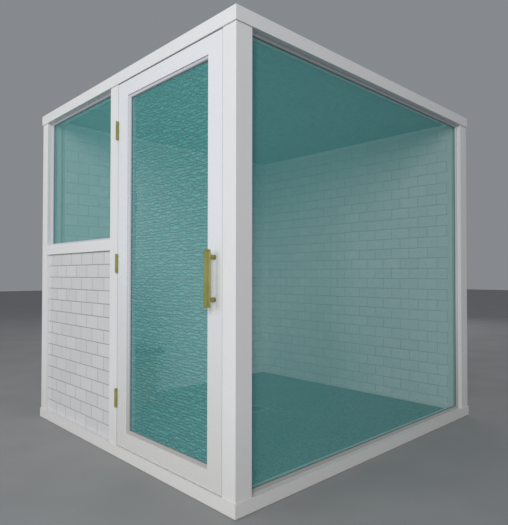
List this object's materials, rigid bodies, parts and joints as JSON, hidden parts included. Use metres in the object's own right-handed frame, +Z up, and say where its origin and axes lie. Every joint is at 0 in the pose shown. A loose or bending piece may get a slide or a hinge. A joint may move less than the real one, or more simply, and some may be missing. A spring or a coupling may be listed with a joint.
{
  "type": "steam cabin",
  "caption": "Square walk-in steam cabin with tiled walls, glazed door, window and side wall, corner bench and steam generator.",
  "frame": {"origin": "centre of the drain outlet's mouth, in the plane of the foot pads and at the middle of the square base", "axes": "+X to the right along the door face, +Y from the door face into the cabin, +Z up"},
  "size_m": [2.16, 2.2075, 2.134],
  "materials": {
    "frame_paint": "satin",
    "wall_tile": "satin",
    "sheathing_board": "matte",
    "backer_board": "matte",
    "stud_timber": "matte",
    "patterned_glass": "satin",
    "clear_glass": "gloss",
    "floor_resin": "satin",
    "ceiling_resin": "satin",
    "rubber": "matte",
    "brass": "satin",
    "bench_wood": "satin",
    "stainless_steel": "satin",
    "valve_brass": "satin",
    "chrome_fitting": "polished",
    "white_plastic": "satin",
    "button_plastic": "satin",
    "lamp_lens": "satin"
  },
  "bodies": {
    "cabin": {"access_hinges_fixed": "brass", "backer_boards": "backer_board", "base_sills": "frame_paint", "bench_frame": "bench_wood", "bench_seats": "bench_wood", "boiler_tank": "stainless_steel", "cable_gland": "valve_brass", "ceiling_light_housing": "white_plastic", "ceiling_light_lens": "lamp_lens", "ceiling_panel": "ceiling_resin", "control_panel": "white_plastic", "corner_posts": "frame_paint", "door_seal": "rubber", "door_stops": "frame_paint", "drain_body": "stainless_steel", "drain_valve": "valve_brass", "floor_joists": "stud_timber", "floor_pan": "floor_resin", "foot_pads": "rubber", "generator_cover": "stainless_steel", "generator_tray": "stainless_steel", "headers": "frame_paint", "heater_element": "stainless_steel", "hinge_pins": "brass", "hinge_post": "frame_paint", "hinge_post_leaves": "brass", "inner_tiles": "wall_tile", "interior_trims": "frame_paint", "outer_tiles": "wall_tile", "post_linings": "frame_paint", "relief_valve": "valve_brass", "roof_cover": "sheathing_board", "sheathing": "sheathing_board", "side_beads": "frame_paint", "side_glass": "clear_glass", "steam_nozzle": "chrome_fitting", "steam_pipe": "valve_brass", "strike_plate": "brass", "wall_studs": "stud_timber", "water_inlet": "stainless_steel", "window_beads": "frame_paint", "window_glass": "patterned_glass", "window_rail": "frame_paint"},
    "door": {"door_stiles": "frame_paint", "door_rails": "frame_paint", "door_glass": "patterned_glass", "door_beads": "frame_paint", "hinge_door_leaves": "brass", "handle_bar": "brass", "handle_standoffs": "brass", "catch_case": "brass"},
    "catch_ball": {"catch_ball": "stainless_steel"},
    "drain_grate": {"drain_grate": "stainless_steel"},
    "access_door": {"access_door": "bench_wood", "access_knob": "brass", "access_hinges_moving": "brass"},
    "relief_lever": {"relief_lever": "stainless_steel"},
    "drain_lever": {"drain_lever": "stainless_steel"},
    "power_button": {"power_button": "button_plastic"},
    "light_button": {"light_button": "button_plastic"}
  },
  "joints": [
    {"name": "door_swing", "type": "hinge", "parent": "cabin", "child": "door", "pos_m": [0.048, -1.0815, 0.067], "axis": [0, 0, -1], "range_deg": [0, 110]},
    {"name": "catch_press", "type": "slide", "parent": "door", "child": "catch_ball", "axis": [-1, 0, 0], "range_m": [0, 0.0045], "stiffness_N_per_m": 1500, "springref_m": -0.003},
    {"name": "grate_lift", "type": "slide", "parent": "cabin", "child": "drain_grate", "axis": [0, 0, 1], "range_m": [0, 0.15]},
    {"name": "access_door_swing", "type": "hinge", "parent": "cabin", "child": "access_door", "pos_m": [-0.6647, -0.4507, 0.08], "axis": [0, 0, 1], "range_deg": [0, 95]},
    {"name": "relief_lever_lift", "type": "hinge", "parent": "cabin", "child": "relief_lever", "pos_m": [-0.8237, -0.6437, 0.343], "axis": [0, -1, 0], "range_deg": [0, 35], "stiffness_Nm_per_rad": 0.1, "springref_deg": -11.46},
    {"name": "drain_lever_turn", "type": "hinge", "parent": "cabin", "child": "drain_lever", "pos_m": [-0.6937, -0.6737, 0.14], "axis": [-1, 0, 0], "range_deg": [0, 90]},
    {"name": "power_button_press", "type": "slide", "parent": "cabin", "child": "power_button", "axis": [0, -1, 0], "range_m": [0, 0.003], "stiffness_N_per_m": 400, "springref_m": -0.002},
    {"name": "light_button_press", "type": "slide", "parent": "cabin", "child": "light_button", "axis": [0, -1, 0], "range_m": [0, 0.003], "stiffness_N_per_m": 400, "springref_m": -0.002}
  ]
}
